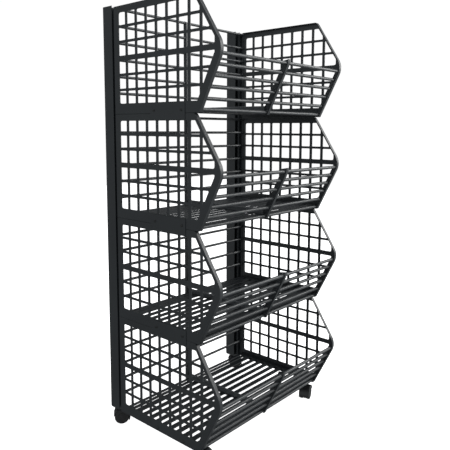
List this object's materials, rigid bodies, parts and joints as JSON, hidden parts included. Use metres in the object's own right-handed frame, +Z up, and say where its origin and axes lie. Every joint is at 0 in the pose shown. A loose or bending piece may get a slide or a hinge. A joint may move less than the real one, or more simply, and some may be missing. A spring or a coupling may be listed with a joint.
{
  "type": "tiered basket display rack on casters",
  "caption": "Tall free-standing display rack of stacked open-front baskets with pierced steel side panels, round front rails and slotted shelves, on swivel twin-wheel casters.",
  "frame": {"origin": "on the floor under the middle of the bounding box", "axes": "+Z up; the open front faces -Y; +X to the right as seen from the front"},
  "size_m": [0.5766, 0.4495, 1.2155],
  "materials": {
    "powder_coat": "satin dark grey powder coat",
    "powder_coat_bar": "satin dark grey powder coat on round bar",
    "black_steel": "black finished screws",
    "zinc_steel": "zinc plated",
    "caster_plastic": "satin black moulding",
    "caster_wheel": "satin black moulding"
  },
  "bodies": {
    "rack": {"side_panel_left_t1": "powder_coat", "side_panel_left_t2": "powder_coat", "side_panel_left_t3": "powder_coat", "side_panel_left_t4": "powder_coat", "post_left": "powder_coat", "side_panel_right_t1": "powder_coat", "side_panel_right_t2": "powder_coat", "side_panel_right_t3": "powder_coat", "side_panel_right_t4": "powder_coat", "post_right": "powder_coat", "back_centre_upright": "powder_coat", "front_rails_t1": "powder_coat_bar", "back_bars_t1": "powder_coat_bar", "front_centre_plate_t1": "powder_coat", "shelf_t1": "powder_coat", "shelf_rib_t1": "powder_coat", "front_rails_t2": "powder_coat_bar", "back_bars_t2": "powder_coat_bar", "front_centre_plate_t2": "powder_coat", "shelf_t2": "powder_coat", "shelf_rib_t2": "powder_coat", "front_rails_t3": "powder_coat_bar", "back_bars_t3": "powder_coat_bar", "front_centre_plate_t3": "powder_coat", "shelf_t3": "powder_coat", "shelf_rib_t3": "powder_coat", "front_rails_t4": "powder_coat_bar", "back_bars_t4": "powder_coat_bar", "front_centre_plate_t4": "powder_coat", "shelf_t4": "powder_coat", "shelf_rib_t4": "powder_coat", "joining_channel_left": "powder_coat", "joint_plates_left": "powder_coat", "panel_screws_left": "black_steel", "joining_channel_right": "powder_coat", "joint_plates_right": "powder_coat", "panel_screws_right": "black_steel", "caster_plates": "powder_coat", "caster_stems": "zinc_steel", "caster_nuts": "zinc_steel"},
    "caster_fl": {"caster_hood_fl": "caster_plastic", "caster_axle_fl": "zinc_steel"},
    "wheel_fl_a_body": {"wheel_fl_a": "caster_wheel"},
    "wheel_fl_b_body": {"wheel_fl_b": "caster_wheel"},
    "caster_fr": {"caster_hood_fr": "caster_plastic", "caster_axle_fr": "zinc_steel"},
    "wheel_fr_a_body": {"wheel_fr_a": "caster_wheel"},
    "wheel_fr_b_body": {"wheel_fr_b": "caster_wheel"},
    "caster_rl": {"caster_hood_rl": "caster_plastic", "caster_axle_rl": "zinc_steel"},
    "wheel_rl_a_body": {"wheel_rl_a": "caster_wheel"},
    "wheel_rl_b_body": {"wheel_rl_b": "caster_wheel"},
    "caster_rr": {"caster_hood_rr": "caster_plastic", "caster_axle_rr": "zinc_steel"},
    "wheel_rr_a_body": {"wheel_rr_a": "caster_wheel"},
    "wheel_rr_b_body": {"wheel_rr_b": "caster_wheel"}
  },
  "joints": [
    {"name": "swivel_fl", "type": "hinge", "parent": "rack", "child": "caster_fl", "pos_m": [-0.2635, -0.1326, 0.0385], "axis": [0, 0, 1], "continuous": true},
    {"name": "roll_fl_a", "type": "hinge", "parent": "caster_fl", "child": "wheel_fl_a_body", "pos_m": [-0.25395, -0.14215, 0.0215], "axis": [0.7071, 0.7071, 0], "continuous": true},
    {"name": "roll_fl_b", "type": "hinge", "parent": "caster_fl", "child": "wheel_fl_b_body", "pos_m": [-0.25395, -0.14215, 0.0215], "axis": [0.7071, 0.7071, 0], "continuous": true},
    {"name": "swivel_fr", "type": "hinge", "parent": "rack", "child": "caster_fr", "pos_m": [0.2425, -0.1326, 0.0385], "axis": [0, 0, 1], "continuous": true},
    {"name": "roll_fr_a", "type": "hinge", "parent": "caster_fr", "child": "wheel_fr_a_body", "pos_m": [0.22981, -0.13722, 0.0215], "axis": [0.342, -0.9397, 0], "continuous": true},
    {"name": "roll_fr_b", "type": "hinge", "parent": "caster_fr", "child": "wheel_fr_b_body", "pos_m": [0.22981, -0.13722, 0.0215], "axis": [0.342, -0.9397, 0], "continuous": true},
    {"name": "swivel_rl", "type": "hinge", "parent": "rack", "child": "caster_rl", "pos_m": [-0.27, 0.2074, 0.0385], "axis": [0, 0, 1], "continuous": true},
    {"name": "roll_rl_a", "type": "hinge", "parent": "caster_rl", "child": "wheel_rl_a_body", "pos_m": [-0.25922, 0.19928, 0.0215], "axis": [0.6018, 0.7986, 0], "continuous": true},
    {"name": "roll_rl_b", "type": "hinge", "parent": "caster_rl", "child": "wheel_rl_b_body", "pos_m": [-0.25922, 0.19928, 0.0215], "axis": [0.6018, 0.7986, 0], "continuous": true},
    {"name": "swivel_rr", "type": "hinge", "parent": "rack", "child": "caster_rr", "pos_m": [0.249, 0.2074, 0.0385], "axis": [0, 0, 1], "continuous": true},
    {"name": "roll_rr_a", "type": "hinge", "parent": "caster_rr", "child": "wheel_rr_a_body", "pos_m": [0.25903, 0.19837, 0.0215], "axis": [0.6691, 0.7431, 0], "continuous": true},
    {"name": "roll_rr_b", "type": "hinge", "parent": "caster_rr", "child": "wheel_rr_b_body", "pos_m": [0.25903, 0.19837, 0.0215], "axis": [0.6691, 0.7431, 0], "continuous": true}
  ]
}
